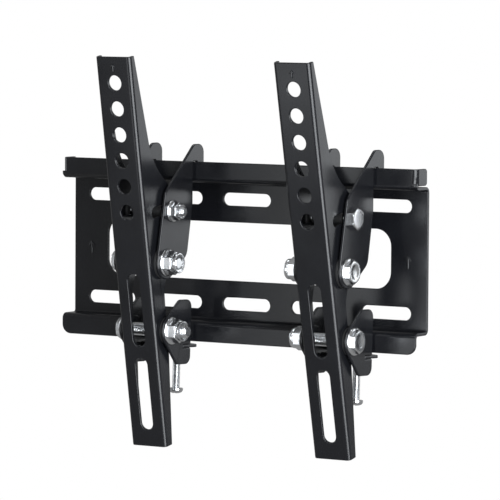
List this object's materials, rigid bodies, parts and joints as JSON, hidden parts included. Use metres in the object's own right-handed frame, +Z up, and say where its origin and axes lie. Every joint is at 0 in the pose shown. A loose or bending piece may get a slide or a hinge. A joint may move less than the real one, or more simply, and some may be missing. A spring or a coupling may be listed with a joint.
{
  "type": "tv wall mount",
  "caption": "Tilting wall mount for a small flat screen: a slotted wall plate with two rails, and hooked screen arms that slide along it, tilt on an arc slot and lock with a screw below.",
  "frame": {"origin": "middle of the wall plate, on the plane of the wall", "axes": "+X to the right along the rails seen from the screen side, +Y into the wall, +Z up"},
  "size_m": [0.257, 0.0879, 0.242],
  "materials": {
    "powder_coat": "satin black powder coat",
    "zinc_steel": "bright zinc plate",
    "washer_polymer": "matt black"
  },
  "bodies": {
    "wall": {"wall_plate": "powder_coat"},
    "left_hanger": {"left_hook_outer": "powder_coat", "left_hook_inner": "powder_coat", "left_tilt_bolt": "zinc_steel", "left_tilt_nut": "zinc_steel", "left_tilt_washers": "washer_polymer", "left_tilt_sleeve": "washer_polymer", "left_pivot_bolt": "zinc_steel", "left_pivot_nut": "zinc_steel", "left_pivot_washers": "washer_polymer"},
    "left_screen_arm": {"left_arm": "powder_coat", "left_catch_bolt": "zinc_steel", "left_catch_nut": "zinc_steel", "left_catch_washers": "washer_polymer"},
    "left_catch": {"left_cheek_outer": "powder_coat", "left_cheek_inner": "powder_coat", "left_lock_strap": "powder_coat"},
    "left_lock": {"left_lock_screw": "zinc_steel"},
    "right_hanger": {"right_hook_outer": "powder_coat", "right_hook_inner": "powder_coat", "right_tilt_bolt": "zinc_steel", "right_tilt_nut": "zinc_steel", "right_tilt_washers": "washer_polymer", "right_tilt_sleeve": "washer_polymer", "right_pivot_bolt": "zinc_steel", "right_pivot_nut": "zinc_steel", "right_pivot_washers": "washer_polymer"},
    "right_screen_arm": {"right_arm": "powder_coat", "right_catch_bolt": "zinc_steel", "right_catch_nut": "zinc_steel", "right_catch_washers": "washer_polymer"},
    "right_catch": {"right_cheek_outer": "powder_coat", "right_cheek_inner": "powder_coat", "right_lock_strap": "powder_coat"},
    "right_lock": {"right_lock_screw": "zinc_steel"}
  },
  "joints": [
    {"name": "left_slide", "type": "slide", "parent": "wall", "child": "left_hanger", "axis": [1, 0, 0], "range_m": [-0.0637, 0.0329]},
    {"name": "left_tilt", "type": "hinge", "parent": "left_hanger", "child": "left_screen_arm", "pos_m": [-0.0459, -0.0463, -0.0051], "axis": [1, 0, 0], "range_deg": [-25, 2.5]},
    {"name": "left_catch_swing", "type": "hinge", "parent": "left_screen_arm", "child": "left_catch", "pos_m": [-0.0459, -0.04107, -0.04743], "axis": [1, 0, 0], "range_deg": [-11, 0.4]},
    {"name": "left_lock_travel", "type": "slide", "parent": "left_catch", "child": "left_lock", "axis": [0, 0.0419, 0.9991], "range_m": [0, 0.009]},
    {"name": "right_slide", "type": "slide", "parent": "wall", "child": "right_hanger", "axis": [1, 0, 0], "range_m": [-0.0335, 0.0261]},
    {"name": "right_tilt", "type": "hinge", "parent": "right_hanger", "child": "right_screen_arm", "pos_m": [0.0835, -0.0463, -0.0051], "axis": [1, 0, 0], "range_deg": [-27, 0.5]},
    {"name": "right_catch_swing", "type": "hinge", "parent": "right_screen_arm", "child": "right_catch", "pos_m": [0.0835, -0.03959, -0.04723], "axis": [1, 0, 0], "range_deg": [-9, 2.4]},
    {"name": "right_lock_travel", "type": "slide", "parent": "right_catch", "child": "right_lock", "axis": [0, 0.0419, 0.9991], "range_m": [0, 0.009]}
  ]
}
